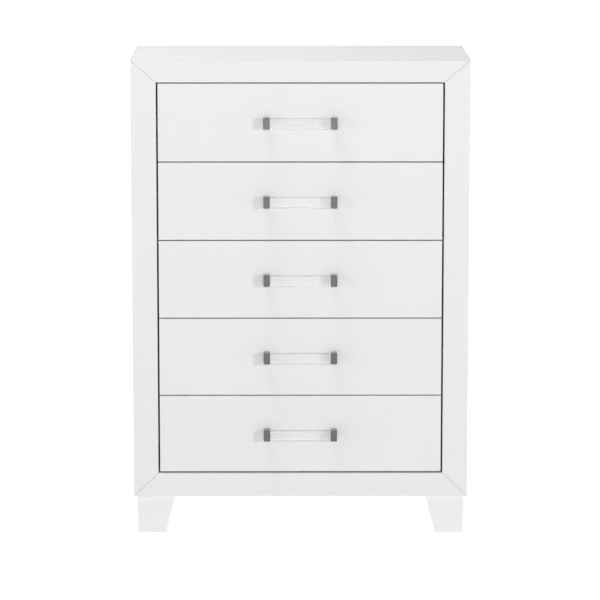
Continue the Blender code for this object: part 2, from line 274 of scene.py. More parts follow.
def painted_shade_at_mitres(lacquer, outer, inner):
    """Painted shade of the fine groove where lacquer sinks into each mitre: a grey line about 1.5 mm wide.
    Each of outer and inner is (half width, bottom, top) of the case or its opening."""
    tree = lacquer.node_tree
    place = add_node(tree, "ShaderNodeTexCoord").outputs["Object"]
    mirrored = add_node(tree, "ShaderNodeVectorMath", {"operation": "ABSOLUTE"}, {0: place}).outputs[0]
    nearest = None
    for end in (1, 2):
        across = Vector((inner[end] - outer[end], 0.0, outer[0] - inner[0])).normalized()
        corner = Vector((outer[0], 0.0, outer[end]))
        off = add_node(tree, "ShaderNodeVectorMath", {"operation": "DOT_PRODUCT"}, {0: mirrored, 1: across})
        off = {0: off.outputs["Value"], 1: across.dot(corner)}
        off = add_node(tree, "ShaderNodeMath", {"operation": "SUBTRACT"}, off)
        off = add_node(tree, "ShaderNodeMath", {"operation": "ABSOLUTE"}, {0: off.outputs[0]})
        nearest = off if nearest is None else add_node(
            tree, "ShaderNodeMath", {"operation": "MINIMUM"}, {0: nearest.outputs[0], 1: off.outputs[0]}
        )
    line = {"Value": nearest.outputs[0], "From Min": MITRE_LINE, "From Max": MITRE_LINE_CORE}
    line = add_node(tree, "ShaderNodeMapRange", {"interpolation_type": "SMOOTHSTEP"}, line)
    # Painted shade: a grey line along each mitre, for the shade in its groove.
    recolour(lacquer, line.outputs["Result"], linear("#C9C9C9"))


def painted_shade_on_front_edge(lacquer):
    """Paints the eased front edge of the top greyer: painted shade against the lamps' highlight there."""
    tree = lacquer.node_tree
    facing = add_node(tree, "ShaderNodeNewGeometry").outputs["Normal"]
    slope = {0: facing, 1: Vector((0.0, -1.0, 1.0)).normalized()}
    slope = add_node(tree, "ShaderNodeVectorMath", {"operation": "DOT_PRODUCT"}, slope)
    edge = {"Value": slope.outputs["Value"], "From Min": 0.75, "From Max": 0.90}
    edge = add_node(tree, "ShaderNodeMapRange", inputs=edge)
    # Painted shade: a greyer colour on the eased front edge of the top, against its highlight.
    recolour(lacquer, edge.outputs["Result"], linear("#CECECE"))


case_lacquer = white_lacquer("case_white_satin_lacquer", "#EDEDED", "#EAEAEA", 0.50)
opening_low = Vector((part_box("stretcher")[0].x, 0.0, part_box("case_bottom")[1].z))
opening_high = Vector((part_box("stretcher")[1].x, 0.0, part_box("case_top")[0].z))
leave_inside_raw(case_lacquer, opening_low, opening_high, front_plane, "#8F7450")
case_bottom, case_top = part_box("case_bottom")[0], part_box("case_top")[1]
# Painted shade along the mitres of the case.
painted_shade_at_mitres(
    case_lacquer, (case_top.x, case_bottom.z, case_top.z), (opening_high.x, opening_low.z, opening_high.z)
)
# Painted shade along the top's eased front edge.
painted_shade_on_front_edge(case_lacquer)
for part in ("case_top", "case_bottom", "case_left_side", "case_right_side"):
    paint_node(part, case_lacquer)


# ---- Feet ----
# Four tapered blocks of the same fibreboard, lacquered as the case.
# Their lacquer is a lighter copy of the case's: painted light that offsets the shade under the case.
# Each is bolted up into the bottom panel near its corner.

HANDS = (("left", -1), ("right", 1))

# Painted light: the feet get a lighter copy of the case lacquer, against the shade under the case.
foot_lacquer_painted_light = white_lacquer("foot_white_lacquer_painted_light", "#F4F4F4", "#F1F1F1", 0.52)
for hand, _ in HANDS:
    paint_node(f"foot_front_{hand}", foot_lacquer_painted_light)
    paint_node(f"foot_back_{hand}", foot_lacquer_painted_light)


# ---- Back panel ----
# A thin hardboard sheet with a pale sealed face, let into the rebate round the rear of the case.
# Wire staples about 110 mm apart hold its edge down on the ledge of the rebate.

STAPLE_PITCH = 0.110
STAPLE_CROWN = 0.011
STAPLE_WIRE = 0.0012
STAPLE_LEG = 0.0045
STAPLE_INSET = 0.0045
STAPLE_CORNER = 0.030


def new_tree(name, *sizes):
    """A Geometry Nodes tree with a mesh and a material coming in, and a number for each named size."""
    tree = bpy.data.node_groups.new(name, "GeometryNodeTree")
    tree.interface.new_socket("Mesh", in_out="INPUT", socket_type="NodeSocketGeometry")
    tree.interface.new_socket("Mesh", in_out="OUTPUT", socket_type="NodeSocketGeometry")
    tree.interface.new_socket("Material", in_out="INPUT", socket_type="NodeSocketMaterial")
    for size in sizes:
        tree.interface.new_socket(size, in_out="INPUT", socket_type="NodeSocketFloat")
    return tree, tree.nodes.new("NodeGroupInput").outputs


def close_tree(tree, instances, material):
    """Ends a tree: instances made real, with the material set."""
    real = add_node(tree, "GeometryNodeRealizeInstances", inputs={"Geometry": instances})
    coated = {"Geometry": real.outputs[0], "Material": material}
    coated = add_node(tree, "GeometryNodeSetMaterial", inputs=coated)
    add_node(tree, "NodeGroupOutput", inputs={0: coated.outputs[0]})


def plain_mesh(obj, name):
    """The object's evaluated shape as a mesh of its own. Its modifiers are then removed."""
    graph = bpy.context.evaluated_depsgraph_get()
    mesh = bpy.data.meshes.new_from_object(obj.evaluated_get(graph))
    mesh.name = name
    obj.modifiers.clear()
    obj.data = mesh
    return mesh


def grow(name, base, tree, material, body, sharp_above=35, **sizes):
    """Runs a tree on the base mesh, makes the result a plain mesh and lets it ride on the body."""
    obj = add_object(name, base)
    values = {size.replace("_", " ").capitalize(): value for size, value in sizes.items()}
    values["Material"] = material
    pattern = obj.modifiers.new("pattern", "NODES")
    pattern.node_group = tree
    for item in tree.interface.items_tree:
        if item.in_out == "INPUT" and item.name in values:
            pattern[item.identifier] = values[item.name]
    mesh = plain_mesh(obj, name)
    mesh.shade_smooth()
    mesh.set_sharp_from_angle(angle=math.radians(sharp_above))
    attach(obj, body)
    return obj


def facing_points(name, places):
    """A mesh of loose points. Each place is (point, direction it faces)."""
    mesh = bpy.data.meshes.new(name)
    mesh.from_pydata([point for point, _ in places], [], [])
    facing = mesh.attributes.new("facing", "FLOAT_VECTOR", "POINT")
    for item, (_, direction) in zip(facing.data, places):
        item.vector = direction
    return mesh


def staple_tree():
    """Staples along the edges of the base mesh, crowns in line with them, each turned a little by chance."""
    tree, given = new_tree("staple_row", "Pitch", "Crown", "Wire", "Leg")
    path = add_node(tree, "GeometryNodeMeshToCurve", inputs={"Mesh": given["Mesh"]})
    path = {"Curve": path.outputs[0], "Length": given["Pitch"]}
    path = add_node(tree, "GeometryNodeResampleCurve", {"mode": "LENGTH"}, path)
    ring = {"Width": given["Crown"], "Height": given["Leg"]}
    ring = add_node(tree, "GeometryNodeCurvePrimitiveQuadrilateral", inputs=ring)
    bent = {"Curve": ring.outputs[0], "Radius": given["Wire"], "Count": 3}
    bent = add_node(tree, "GeometryNodeFilletCurve", {"mode": "POLY"}, bent)
    half_wire = add_node(tree, "ShaderNodeMath", {"operation": "MULTIPLY"}, {0: given["Wire"], 1: 0.5})
    section = {"Resolution": 8, "Radius": half_wire.outputs[0]}
    section = add_node(tree, "GeometryNodeCurvePrimitiveCircle", inputs=section)
    wire = {"Curve": bent.outputs[0], "Profile Curve": section.outputs[0]}
    wire = add_node(tree, "GeometryNodeCurveToMesh", inputs=wire)
    upright = {"Geometry": wire.outputs[0], "Rotation": (math.pi / 2, 0, 0)}
    upright = add_node(tree, "GeometryNodeTransform", inputs=upright)
    tangent = add_node(tree, "GeometryNodeInputTangent").outputs[0]
    out = add_node(tree, "FunctionNodeAlignRotationToVector", {"axis": "Z"}, {"Vector": (0, 1, 0)})
    along = {"Rotation": out.outputs[0], "Vector": tangent}
    along = add_node(tree, "FunctionNodeAlignRotationToVector", {"axis": "X", "pivot_axis": "Z"}, along)
    chance = {"Min": (0, 0, -0.12), "Max": (0, 0, 0.12), "Seed": 7}
    chance = add_node(tree, "FunctionNodeRandomValue", {"data_type": "FLOAT_VECTOR"}, chance)
    turned = {"Rotation": along.outputs[0], "Rotate By": chance.outputs[0]}
    turned = add_node(tree, "FunctionNodeRotateRotation", {"rotation_space": "LOCAL"}, turned)
    staples = {"Points": path.outputs[0], "Instance": upright.outputs[0], "Rotation": turned.outputs[0]}
    staples = add_node(tree, "GeometryNodeInstanceOnPoints", inputs=staples)
    close_tree(tree, staples.outputs[0], given["Material"])
    return tree


def hardboard(name, light, dark, fibre):
    """Hardboard with a sealed face: matte, flecked by the pressed fibres, which are 2 to 3 mm long."""
    made, tree, shader = new_material(name)
    place = add_node(tree, "ShaderNodeTexCoord").outputs["Object"]
    fleck = {"Vector": place, "Scale": 1 / fibre, "Detail": 4.0, "Roughness": 0.7}
    fleck = add_node(tree, "ShaderNodeTexNoise", inputs=fleck)
    cloud = {"Vector": place, "Scale": 6.0, "Detail": 2.0}
    cloud = add_node(tree, "ShaderNodeTexNoise", inputs=cloud)
    both = {0: cloud.outputs["Fac"], 1: 0.25, 2: fleck.outputs["Fac"]}
    both = add_node(tree, "ShaderNodeMath", {"operation": "MULTIPLY_ADD"}, both)
    spread = {"Value": both.outputs[0], "From Min": 0.35, "From Max": 0.90}
    spread = add_node(tree, "ShaderNodeMapRange", inputs=spread)
    tint = {0: spread.outputs["Result"], 6: linear(dark), 7: linear(light)}
    tint = add_node(tree, "ShaderNodeMix", {"data_type": "RGBA"}, tint)
    relief = {"Height": fleck.outputs["Fac"], "Strength": 0.25, "Distance": 0.0004}
    relief = add_node(tree, "ShaderNodeBump", inputs=relief)
    shader.inputs["Roughness"].default_value = 0.62
    tree.links.new(tint.outputs[2], shader.inputs["Base Color"])
    tree.links.new(relief.outputs["Normal"], shader.inputs["Normal"])
    return made


def drawn_steel(name, light, dark, roughness, grain, painted_shade_end_colour=None):
    """Bright zinc over cold-drawn steel: metal with fine lengthwise streaks and a faint cloudy bloom.
    Ends that face front or back may get a dark colour: partly dull cut steel, partly painted shade."""
    made, tree, shader = new_material(name)
    place = add_node(tree, "ShaderNodeTexCoord").outputs["Object"]
    drawn = add_node(tree, "ShaderNodeMapping", inputs={"Vector": place, "Scale": grain})
    streak = {"Vector": drawn.outputs[0], "Scale": 1.0, "Detail": 3.0, "Roughness": 0.6}
    streak = add_node(tree, "ShaderNodeTexNoise", inputs=streak)
    bloom = {"Vector": place, "Scale": 60.0, "Detail": 2.0}
    bloom = add_node(tree, "ShaderNodeTexNoise", inputs=bloom)
    tint = {0: bloom.outputs["Fac"], 6: linear(dark), 7: linear(light)}
    tint = add_node(tree, "ShaderNodeMix", {"data_type": "RGBA"}, tint)
    rub = {"Value": streak.outputs["Fac"], "To Min": roughness - 0.10, "To Max": roughness + 0.10}
    rub = add_node(tree, "ShaderNodeMapRange", inputs=rub)
    relief = {"Height": streak.outputs["Fac"], "Strength": 0.15, "Distance": 0.0002}
    relief = add_node(tree, "ShaderNodeBump", inputs=relief)
    shader.inputs["Metallic"].default_value = 1.0
    colour = tint.outputs[2]
    # Painted shade: the channel ends get a dark colour that keeps the gaps round the fronts dark.
    if painted_shade_end_colour:
        facing = add_node(tree, "ShaderNodeTexCoord").outputs["Normal"]
        facing = add_node(tree, "ShaderNodeSeparateXYZ", inputs={0: facing}).outputs[1]
        end = add_node(tree, "ShaderNodeMath", {"operation": "ABSOLUTE"}, {0: facing})
        end = add_node(tree, "ShaderNodeMath", {"operation": "GREATER_THAN"}, {0: end.outputs[0], 1: 0.9})
        cut = {0: end.outputs[0], 6: colour, 7: linear(painted_shade_end_colour)}
        colour = add_node(tree, "ShaderNodeMix", {"data_type": "RGBA"}, cut).outputs[2]
    tree.links.new(colour, shader.inputs["Base Color"])
    tree.links.new(rub.outputs["Result"], shader.inputs["Roughness"])
    tree.links.new(relief.outputs["Normal"], shader.inputs["Normal"])
    return made


paint_node("back_panel", hardboard("sealed_hardboard", "#E0DCD6", "#CFC9C0", 0.0025))

panel_low, panel_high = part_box("back_panel")
line_y = panel_high.y - STAPLE_LEG / 2
ends = []
for x in (panel_low.x + STAPLE_INSET, panel_high.x - STAPLE_INSET):
    ends += [(x, line_y, panel_low.z + STAPLE_CORNER), (x, line_y, panel_high.z - STAPLE_CORNER)]
for z in (panel_low.z + STAPLE_INSET, panel_high.z - STAPLE_INSET):
    ends += [(panel_low.x + STAPLE_CORNER, line_y, z), (panel_high.x - STAPLE_CORNER, line_y, z)]
edge_line = bpy.data.meshes.new("staple_line")
edge_line.from_pydata(ends, [(i, i + 1) for i in range(0, len(ends), 2)], [])
staple_wire = drawn_steel("galvanised_staple_wire", "#C9CACC", "#A9ABAE", 0.35, (400, 400, 400))
staples = grow(
    "back_panel_staples", edge_line, staple_tree(), staple_wire, "case",
    pitch=STAPLE_PITCH, crown=STAPLE_CROWN, wire=STAPLE_WIRE, leg=STAPLE_LEG,
)


# ---- Stretcher ----
# A flat pine rail across the case at mid height.
# It is let in between the two sides to keep them from bowing.


def sawn_wood(name, grain_axis, light, dark, ring, fibre, roughness):
    """Planed wood, its grain along one axis. ring is the width of a growth ring, fibre that of a streak."""
    made, tree, shader = new_material(name)
    coordinates = add_node(tree, "ShaderNodeTexCoord")
    place = coordinates.outputs["Object"]
    along = Vector([1.0 if axis == grain_axis else 0.0 for axis in range(3)])
    across = Vector((1.0, 1.0, 1.0)) - along
    tilt = across.cross(along) * 0.04
    tilted = {"Vector": place, "Rotation": tilt, "Scale": across / ring + along / (30 * ring)}
    tilted = add_node(tree, "ShaderNodeMapping", inputs=tilted)
    rings = {"Vector": tilted.outputs[0], "Scale": 0.314, "Distortion": 3.0}
    rings.update({"Detail": 2.0, "Detail Scale": 0.6})
    round_grain = {"rings_direction": "XYZ"[grain_axis], "wave_type": "RINGS"}
    rings = add_node(tree, "ShaderNodeTexWave", round_grain, rings)
    fine = {"Vector": place, "Scale": across / fibre + along / (60 * fibre)}
    fine = add_node(tree, "ShaderNodeMapping", inputs=fine)
    streak = {"Vector": fine.outputs[0], "Scale": 1.0, "Detail": 3.0, "Roughness": 0.6}
    streak = add_node(tree, "ShaderNodeTexNoise", inputs=streak)
    board = add_node(tree, "ShaderNodeTexNoise", inputs={"Vector": place, "Scale": 4.0, "Detail": 1.0})
    mixed = {0: rings.outputs["Fac"], 1: 0.35, 2: streak.outputs["Fac"]}
    mixed = add_node(tree, "ShaderNodeMath", {"operation": "MULTIPLY_ADD"}, mixed)
    mixed = {0: board.outputs["Fac"], 1: 0.5, 2: mixed.outputs[0]}
    mixed = add_node(tree, "ShaderNodeMath", {"operation": "MULTIPLY_ADD"}, mixed)
    spread = {"Value": mixed.outputs[0], "From Min": 0.55, "From Max": 1.35}
    spread = add_node(tree, "ShaderNodeMapRange", inputs=spread)
    tint = {0: spread.outputs["Result"], 6: linear(light), 7: linear(dark)}
    tint = add_node(tree, "ShaderNodeMix", {"data_type": "RGBA"}, tint)
    facing = {0: coordinates.outputs["Normal"], 1: along}
    facing = add_node(tree, "ShaderNodeVectorMath", {"operation": "DOT_PRODUCT"}, facing)
    end = add_node(tree, "ShaderNodeMath", {"operation": "ABSOLUTE"}, {0: facing.outputs["Value"]})
    end = {"Value": end.outputs[0], "From Min": 0.6, "From Max": 0.9, "To Max": 0.45}
    end = add_node(tree, "ShaderNodeMapRange", inputs=end)
    sawn = {0: end.outputs["Result"], 6: tint.outputs[2], 7: linear(dark)}
    sawn = add_node(tree, "ShaderNodeMix", {"data_type": "RGBA", "blend_type": "MULTIPLY"}, sawn)
    rub = {"Value": streak.outputs["Fac"], "To Min": roughness - 0.08, "To Max": roughness + 0.08}
    rub = add_node(tree, "ShaderNodeMapRange", inputs=rub)
    relief = {"Height": streak.outputs["Fac"], "Strength": 0.3, "Distance": 0.0003}
    relief = add_node(tree, "ShaderNodeBump", inputs=relief)
    tree.links.new(sawn.outputs[2], shader.inputs["Base Color"])
    tree.links.new(rub.outputs["Result"], shader.inputs["Roughness"])
    tree.links.new(relief.outputs["Normal"], shader.inputs["Normal"])
    return made


paint_node("stretcher", sawn_wood("planed_pine_rail", 0, "#D9C3A0", "#B08F66", 0.006, 0.0012, 0.60))


# ---- Slides ----
# Ball-bearing slides of roll-formed, zinc-plated steel: one channel is screwed to the case, one to the box.
# Between them a pressed cage carries two rows of hard steel balls, at the rear end of the drawer channel.

DRAWERS = range(1, 6)
CAGE_LENGTH = 0.088
CAGE_THICKNESS = 0.0006
BALL_DIAMETER = 0.0040
BALL_PITCH = 0.0088
SLIDE_GAUGE = 0.0013
SLIDE_SCREWS = (-0.150, -0.010, 0.150)
SLIDE_SCREW_STEP = 0.012
SLIDE_SCREW_HEAD = 0.0065
SLIDE_SCREW_SLOT = 0.0009


def screw_tree():
    """Screws at the base mesh's points: low domed heads with a cross recess, facing as the point says."""
    tree, given = new_tree("screws", "Head", "Height", "Slot")
    half = add_node(tree, "ShaderNodeMath", {"operation": "MULTIPLY"}, {0: given["Head"], 1: 0.5})
    size = {"X": half.outputs[0], "Y": half.outputs[0], "Z": given["Height"]}
    size = add_node(tree, "ShaderNodeCombineXYZ", inputs=size)
    dome = {"Segments": 12, "Rings": 8, "Radius": 1.0}
    dome = add_node(tree, "GeometryNodeMeshUVSphere", inputs=dome)
    dome = {"Geometry": dome.outputs[0], "Scale": size.outputs[0]}
    dome = add_node(tree, "GeometryNodeTransform", inputs=dome)
    reach = add_node(tree, "ShaderNodeMath", {"operation": "MULTIPLY"}, {0: given["Head"], 1: 0.55})
    tops = add_node(tree, "ShaderNodeCombineXYZ", inputs={"Z": given["Height"]})
    arms = []
    for x, y in ((reach, given["Slot"]), (given["Slot"], reach)):
        x, y = (socket.outputs[0] if hasattr(socket, "outputs") else socket for socket in (x, y))
        arm = add_node(tree, "ShaderNodeCombineXYZ", inputs={"X": x, "Y": y, "Z": given["Height"]})
        arm = add_node(tree, "GeometryNodeMeshCube", inputs={"Size": arm.outputs[0]})
        arm = {"Geometry": arm.outputs[0], "Translation": tops.outputs[0]}
        arms.append(add_node(tree, "GeometryNodeTransform", inputs=arm).outputs[0])
    head = {"Mesh 1": dome.outputs[0], "Mesh 2": arms}
    head = add_node(tree, "GeometryNodeMeshBoolean", {"operation": "DIFFERENCE"}, head)
    facing = {"Name": "facing"}
    facing = add_node(tree, "GeometryNodeInputNamedAttribute", {"data_type": "FLOAT_VECTOR"}, facing)
    turn = {"Vector": facing.outputs[0]}
    turn = add_node(tree, "FunctionNodeAlignRotationToVector", {"axis": "Z"}, turn)
    screws = {"Points": given["Mesh"], "Instance": head.outputs[0], "Rotation": turn.outputs[0]}
    screws = add_node(tree, "GeometryNodeInstanceOnPoints", inputs=screws)
    close_tree(tree, screws.outputs[0], given["Material"])
    return tree


def ball_tree():
    """Balls along the edges of the base mesh, one pitch apart."""
    tree, given = new_tree("ball_rows", "Diameter", "Pitch")
    path = add_node(tree, "GeometryNodeMeshToCurve", inputs={"Mesh": given["Mesh"]})
    path = {"Curve": path.outputs[0], "Length": given["Pitch"]}
    path = add_node(tree, "GeometryNodeResampleCurve", {"mode": "LENGTH"}, path)
    half = add_node(tree, "ShaderNodeMath", {"operation": "MULTIPLY"}, {0: given["Diameter"], 1: 0.5})
    ball = {"Segments": 8, "Rings": 6, "Radius": half.outputs[0]}
    ball = add_node(tree, "GeometryNodeMeshUVSphere", inputs=ball)
    balls = {"Points": path.outputs[0], "Instance": ball.outputs[0]}
    balls = add_node(tree, "GeometryNodeInstanceOnPoints", inputs=balls)
    close_tree(tree, balls.outputs[0], given["Material"])
    return tree


def channel(bm, near, far, outline):
    """Adds to bm a channel running from y near to y far, with this closed outline of (x, z) points."""
    rings = [[bm.verts.new((x, y, z)) for x, z in outline] for y in (near, far)]
    for i in range(len(outline)):
        j = (i + 1) % len(outline)
        bm.faces.new((rings[0][i], rings[0][j], rings[1][j], rings[1][i]))
    bm.faces.new(rings[0])
    bm.faces.new(rings[1])


def finish_mesh(bm, name):
    """A mesh from bm with all its faces pointing outwards."""
    bmesh.ops.recalc_face_normals(bm, faces=bm.faces)
    mesh = bpy.data.meshes.new(name)
    bm.to_mesh(mesh)
    bm.free()
    return mesh


def add_screws(name, places, body, **sizes):
    """Zinc-plated screws that ride on a body. Each place is (point, direction that the head faces)."""
    screws = grow(name, facing_points(f"{name}_places", places), screw_pattern, zinc, body, **sizes)


zinc_look = ("#D2D3D6", "#C3C5C9", 0.33, (900, 12, 900))
zinc = drawn_steel("zinc_plated_drawn_steel", *zinc_look)
# The dark colour on the channel ends is painted shade for the gaps round the drawer fronts.
channel_steel = drawn_steel("zinc_plated_slide_channel", *zinc_look, "#38383A")
hard_steel = drawn_steel("polished_ball_steel", "#D8D8DA", "#CFCFD2", 0.16, (300, 300, 300))
screw_pattern = screw_tree()
ball_pattern = ball_tree()
cabinet_screws = []
for number in DRAWERS:
    cage = bmesh.new()
    ball_lines = []
    drawer_screws = []
    for hand, side in HANDS:
        outer_low, outer_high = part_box(f"cabinet_slide_{number}_{hand}")
        inner_low, inner_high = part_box(f"drawer_{number}_slide_{hand}")
        paint_node(f"cabinet_slide_{number}_{hand}", channel_steel)
        paint_node(f"drawer_{number}_slide_{hand}", channel_steel)
        middle = (outer_low.z + outer_high.z) / 2
        web_out = max(abs(outer_low.x), abs(outer_high.x)) - SLIDE_GAUGE
        web_in = min(abs(inner_low.x), abs(inner_high.x)) + SLIDE_GAUGE
        flange_tip = max(abs(inner_low.x), abs(inner_high.x))
        race = ((inner_high.z - middle) + (outer_high.z - SLIDE_GAUGE - middle)) / 2
        ball_x = (flange_tip + min(abs(outer_low.x), abs(outer_high.x))) / 2
        back, front = (flange_tip + web_out + CAGE_THICKNESS) / 2, ball_x - 0.0030
        reach, inside = race + CAGE_THICKNESS / 2, race - CAGE_THICKNESS / 2
        profile = [(front, -reach), (back, -reach), (back, reach), (front, reach), (front, inside)]
        profile += [(back - CAGE_THICKNESS, inside), (back - CAGE_THICKNESS, -inside), (front, -inside)]
        near = inner_high.y - CAGE_LENGTH
        channel(cage, near, inner_high.y - 0.001, [(side * x, middle + z) for x, z in profile])
        for z in (middle - race, middle + race):
            ball_lines += [(side * ball_x, near + 0.005, z), (side * ball_x, inner_high.y - 0.006, z)]
        mid_y = (inner_low.y + inner_high.y) / 2
        for y in SLIDE_SCREWS:
            cabinet_screws.append(((side * web_out, mid_y + y, middle), (-side, 0, 0)))
            drawer_screws.append(((side * web_in, mid_y + y + SLIDE_SCREW_STEP, middle), (side, 0, 0)))
    cage_name = f"drawer_{number}_ball_cages"
    cage_piece = add_object(cage_name, finish_mesh(cage, cage_name))
    cage_piece.data.materials.append(zinc)
    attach(cage_piece, f"drawer_{number}")
    rows = bpy.data.meshes.new("ball_rows")
    rows.from_pydata(ball_lines, [(i, i + 1) for i in range(0, len(ball_lines), 2)], [])
    balls = grow(
        f"drawer_{number}_slide_balls", rows, ball_pattern, hard_steel, f"drawer_{number}",
        diameter=BALL_DIAMETER, pitch=BALL_PITCH,
    )
    add_screws(
        f"drawer_{number}_slide_screws", drawer_screws, f"drawer_{number}",
        head=SLIDE_SCREW_HEAD, height=0.0014, slot=SLIDE_SCREW_SLOT,
    )
add_screws(
    "cabinet_slide_screws", cabinet_screws, "case",
    head=SLIDE_SCREW_HEAD, height=0.0002, slot=SLIDE_SCREW_SLOT,
)


# ---- Drawer boxes ----
# Four poplar boards, through-dovetailed at the corners by machine, one tail to each inch of height.
# A thin plywood bottom slides in a groove round the inside.

BOARD = 0.012
TAILS = 6
TAIL_SHARE = 0.68
TAIL_FLARE = 0.0017
JOINT_LINE = 0.0001
GROOVE_ROOM = 0.0003


def tail_spans(low, high):
    """For each tail the heights of its lower and upper side at the shoulder. Each flares by TAIL_FLARE."""
    pitch = (high - low) / TAILS
    half = TAIL_SHARE * pitch / 2
    return [(low + (i + 0.5) * pitch - half, low + (i + 0.5) * pitch + half) for i in range(TAILS)]


def tail_board(low, high):
    """A side board along Y with dovetails at both ends. low and high are its corners over the tails."""
    outline = []
    for end, shoulder, order in ((low.y, low.y + BOARD, 1), (high.y, high.y - BOARD, -1)):
        edge = [(shoulder, low.z)]
        for lower, upper in tail_spans(low.z, high.z):
            lower, upper = lower + JOINT_LINE, upper - JOINT_LINE
            edge += [(shoulder, lower), (end, lower - TAIL_FLARE)]
            edge += [(end, upper + TAIL_FLARE), (shoulder, upper)]
        edge.append((shoulder, high.z))
        outline += edge[::order]
    bm = bmesh.new()
    faces = [[bm.verts.new((x, y, z)) for y, z in outline] for x in (low.x, high.x)]
    for i in range(len(outline)):
        j = (i + 1) % len(outline)
        bm.faces.new((faces[0][i], faces[0][j], faces[1][j], faces[1][i]))
    bm.faces.new(faces[0])
    bm.faces.new(faces[1])
    return bm


def pin_board(low, high, outside):
    """A front or back board along X with pins at both ends. outside is the y of its outer face."""
    inside = low.y + high.y - outside
    outer, inner = [low.z], [low.z]
    for lower, upper in tail_spans(low.z, high.z):
        inner += [lower, upper]
        outer += [lower - TAIL_FLARE, upper + TAIL_FLARE]
    outer.append(high.z)
    inner.append(high.z)
    bm = bmesh.new()
    shoulders = {}
    for end, shoulder in ((low.x, low.x + BOARD), (high.x, high.x - BOARD)):
        outs = [bm.verts.new((shoulder, outside, z)) for z in outer]
        ins = [bm.verts.new((shoulder, inside, z)) for z in inner]
        shoulders[end] = (outs, ins)
        for i in range(len(outer) - 1):
            rim = [outs[i], outs[i + 1], ins[i + 1], ins[i]]
            if i % 2:
                bm.faces.new(rim)
                continue
            corners = [(outside, outer[i]), (outside, outer[i + 1])]
            corners += [(inside, inner[i + 1]), (inside, inner[i])]
            tip = [bm.verts.new((end, y, z)) for y, z in corners]
            bm.faces.new(tip)
            for j in range(4):
                k = (j + 1) % 4
                bm.faces.new((rim[j], rim[k], tip[k], tip[j]))
    (left_out, left_in), (right_out, right_in) = shoulders[low.x], shoulders[high.x]
    bm.faces.new(left_out + right_out[::-1])
    bm.faces.new(left_in + right_in[::-1])
    bm.faces.new((left_out[0], right_out[0], right_in[0], left_in[0]))
    bm.faces.new((left_out[-1], right_out[-1], right_in[-1], left_in[-1]))
    return bm


def block(low, high):
    bm = bmesh.new()
    bmesh.ops.create_cube(bm, size=1.0)
    for vert in bm.verts:
        vert.co = [high[i] if vert.co[i] > 0 else low[i] for i in range(3)]
    return bm


poplar_along = sawn_wood("planed_poplar_side_board", 1, "#E0CDAF", "#C4A67C", 0.007, 0.0012, 0.50)
poplar_across = sawn_wood("planed_poplar_end_board", 0, "#E0CDAF", "#C4A67C", 0.007, 0.0012, 0.50)
birch_ply = sawn_wood("birch_plywood_bottom", 0, "#EFE2CB", "#DAC5A2", 0.014, 0.0016, 0.48)

low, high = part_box("drawer_1_box")
bottom_low, bottom_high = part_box("drawer_1_bottom")
room = Vector((GROOVE_ROOM,) * 3)
groove = finish_mesh(block(bottom_low - room, bottom_high + room), "groove_cutter")
groove = add_object("groove_cutter", groove)
boards = {
    "left": (tail_board(low, Vector((low.x + BOARD, high.y, high.z))), poplar_along),
    "right": (tail_board(Vector((high.x - BOARD, low.y, low.z)), high), poplar_along),
    "front": (pin_board(low, Vector((high.x, low.y + BOARD, high.z)), low.y), poplar_across),
    "back": (pin_board(Vector((low.x, high.y - BOARD, low.z)), high, high.y), poplar_across),
}
board_meshes = {}
for part, (bm, wood) in boards.items():
    rough = add_object(f"rough_{part}", finish_mesh(bm, f"drawer_board_{part}"))
    rough.data.materials.append(wood)
    cut = rough.modifiers.new("groove", "BOOLEAN")
    cut.object = groove
    cut.solver = "EXACT"
    board_meshes[part] = plain_mesh(rough, f"drawer_board_{part}")
    bpy.data.objects.remove(rough)
bpy.data.objects.remove(groove)

for number in DRAWERS:
    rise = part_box(f"drawer_{number}_box")[0].z - low.z
    for part, mesh in board_meshes.items():
        mesh = mesh.copy()
        for vert in mesh.vertices:
            vert.co.z += rise
        board = add_object(f"drawer_{number}_board_{part}", mesh)
        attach(board, f"drawer_{number}")
        if part == "front":
            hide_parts(f"drawer_{number}_box")
    paint_node(f"drawer_{number}_bottom", birch_ply)


# ---- Drawer fronts ----
# Flat fibreboard fronts, 20 mm thick, lacquered as the case. Six screws hold each one from inside its box:
# four wood screws near the corners, and two machine screws with wide heads that go on into the handle posts.

FRONT_SCREW_SPREAD = 0.290
FRONT_SCREW_RISE = 0.050
FRONT_SCREW = {"head": 0.0075, "height": 0.0018, "slot": 0.0010}
HANDLE_SCREW = {"head": 0.0100, "height": 0.0024, "slot": 0.0013}

front_lacquer = white_lacquer("drawer_front_white_satin_lacquer", "#EDEDED", "#EAEAEA", 0.49)
for number in DRAWERS:
    paint_node(f"drawer_{number}_front", front_lacquer)
    box_low, box_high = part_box(f"drawer_{number}_box")
    inner_face = box_low.y + BOARD
    middle = (box_low.z + box_high.z) / 2
    places = []
    for side in (-1, 1):
        for rise in (-FRONT_SCREW_RISE, FRONT_SCREW_RISE):
            places.append(((side * FRONT_SCREW_SPREAD, inner_face, middle + rise), (0, 1, 0)))
    add_screws(f"drawer_{number}_front_screws", places, f"drawer_{number}", **FRONT_SCREW)
    places = []
    for hand, side in HANDS:
        post_low, post_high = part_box(f"drawer_{number}_handle_post_{hand}")
        centre = (post_low + post_high) / 2
        places.append(((centre.x, inner_face, centre.z), (0, 1, 0)))
    add_screws(f"drawer_{number}_handle_screws", places, f"drawer_{number}", **HANDLE_SCREW)


# ---- Handles ----
# Two die-cast posts in dark brushed nickel hold a flat bar of clear cast acrylic between them.
# The posts are brushed up and down; the bar is sawn from sheet and flame-polished along its edges.

POST_RIM = 0.0016
# Widths of the painted shade along the bar's edges and of the painted highlight above its lower edge.
BAR_PAINTED_SHADE_EDGE = 0.0019
BAR_PAINTED_SHADE_FADE = 0.0003
BAR_PAINTED_GLOW_EDGE = 0.0040
BAR_PAINTED_GLOW_FADE = 0.0006


